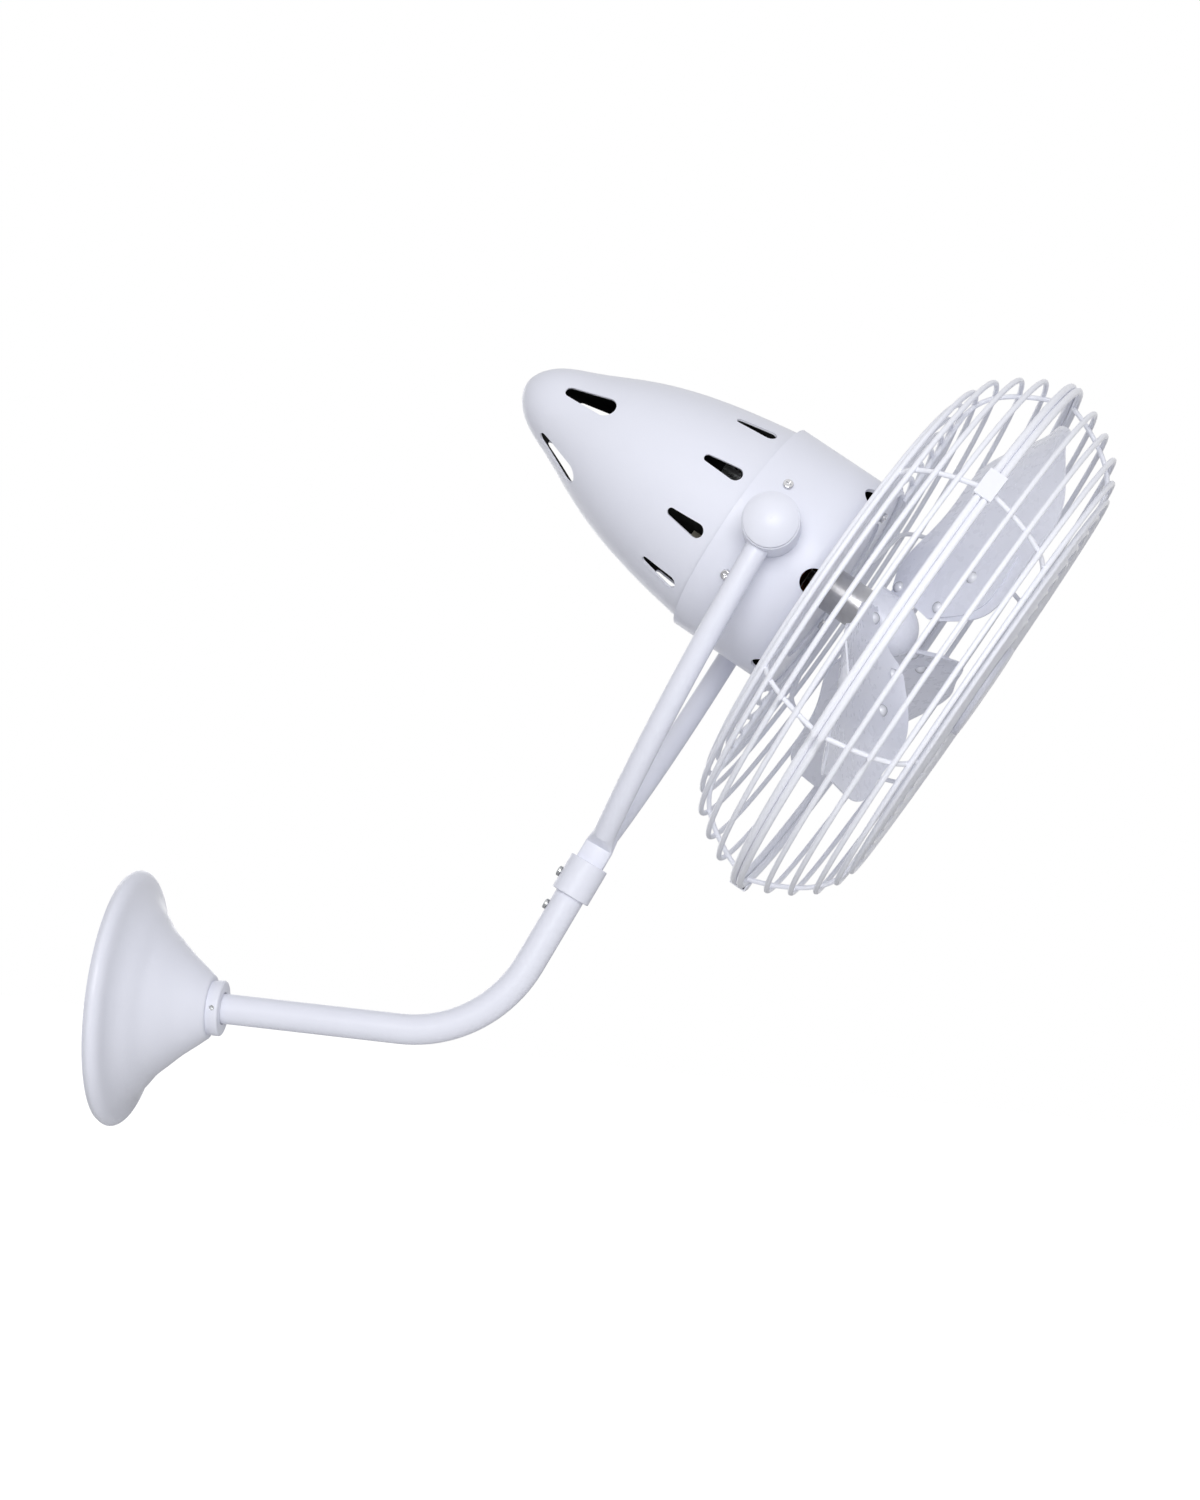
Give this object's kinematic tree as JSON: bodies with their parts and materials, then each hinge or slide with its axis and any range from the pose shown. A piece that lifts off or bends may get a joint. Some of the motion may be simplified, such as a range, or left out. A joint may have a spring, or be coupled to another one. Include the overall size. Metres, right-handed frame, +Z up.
{
  "type": "wall mounted fan",
  "caption": "White wall fan: bell canopy, bent pipe arm, panning yoke and a tilting bullet-shaped motor head that carries a round wire cage with riveted blades",
  "frame": {"origin": "centre of the mounting plate's back face, which lies on the wall", "axes": "+Z up, -Y out of the wall, +X to the right of someone who faces the wall"},
  "size_m": [0.4171, 0.6556, 0.5839],
  "materials": {
    "white_enamel": "gloss white powder coat",
    "blade_enamel": "gloss white enamel on sheet metal",
    "zinc_steel": "zinc plated",
    "polished_steel": "polished",
    "sleeve_steel": "turned, oiled",
    "lamination_steel": "varnished laminations",
    "cast_aluminium": "as cast",
    "copper_wire": "enamelled copper",
    "nylon": "natural nylon",
    "capacitor_case": "black moulded case",
    "terminal_plastic": "moulded",
    "lead_insulation": "black insulation"
  },
  "bodies": {
    "wall_arm": {"mounting_plate": "zinc_steel", "pipe_flange": "zinc_steel", "socket_set_screw": "zinc_steel", "flange_screws": "zinc_steel", "canopy_bell": "white_enamel", "canopy_ring": "white_enamel", "ring_set_screw": "zinc_steel", "arm_tube": "white_enamel", "arm_insert": "zinc_steel", "insert_screw": "zinc_steel", "swivel_washer": "nylon", "supply_leads": "lead_insulation"},
    "yoke": {"swivel_collar": "white_enamel", "pan_lock_screw": "zinc_steel", "yoke_arm_right": "white_enamel", "yoke_arm_left": "white_enamel", "pivot_boss_left": "white_enamel", "pivot_boss_right": "white_enamel", "pivot_cap_left": "white_enamel", "pivot_cap_right": "white_enamel", "pivot_bolt_left": "zinc_steel", "pivot_bolt_right": "zinc_steel", "pivot_washers": "zinc_steel", "pivot_nuts": "zinc_steel"},
    "head": {"rear_housing": "white_enamel", "front_housing": "white_enamel", "band_screws": "polished_steel", "pivot_saddle_left": "white_enamel", "pivot_saddle_right": "white_enamel", "pivot_bushing_left": "nylon", "pivot_bushing_right": "nylon", "bearing_nosepiece": "sleeve_steel", "front_bearing": "polished_steel", "rear_bearing": "polished_steel", "stator_core": "lamination_steel", "stator_windings": "copper_wire", "rear_bearing_bracket": "cast_aluminium", "through_bolts": "zinc_steel", "run_capacitor": "capacitor_case", "capacitor_clamp": "zinc_steel", "terminal_block": "terminal_plastic", "motor_leads": "lead_insulation", "rear_guard": "white_enamel", "guard_screws": "polished_steel", "front_guard": "white_enamel", "centre_badge": "white_enamel", "guard_clips": "white_enamel"},
    "rotor": {"motor_shaft": "sleeve_steel", "rotor_core": "lamination_steel", "blade_hub": "blade_enamel", "hub_set_screw": "zinc_steel", "blade_1": "blade_enamel", "blade_2": "blade_enamel", "blade_3": "blade_enamel", "blade_iron_1": "blade_enamel", "blade_iron_2": "blade_enamel", "blade_iron_3": "blade_enamel", "blade_rivets": "blade_enamel"}
  },
  "joints": [
    {"name": "pan", "type": "hinge", "parent": "wall_arm", "child": "yoke", "pos_m": [0, -0.30917, 0.10483], "axis": [0, -0.4147, 0.91], "range_deg": [-170, 170]},
    {"name": "tilt", "type": "hinge", "parent": "yoke", "child": "head", "pos_m": [0, -0.42607, 0.36134], "axis": [-1, 0, 0], "range_deg": [-8, 90]},
    {"name": "spin", "type": "hinge", "parent": "head", "child": "rotor", "pos_m": [0, -0.42607, 0.36134], "axis": [0, -0.876, -0.4824], "continuous": true}
  ]
}
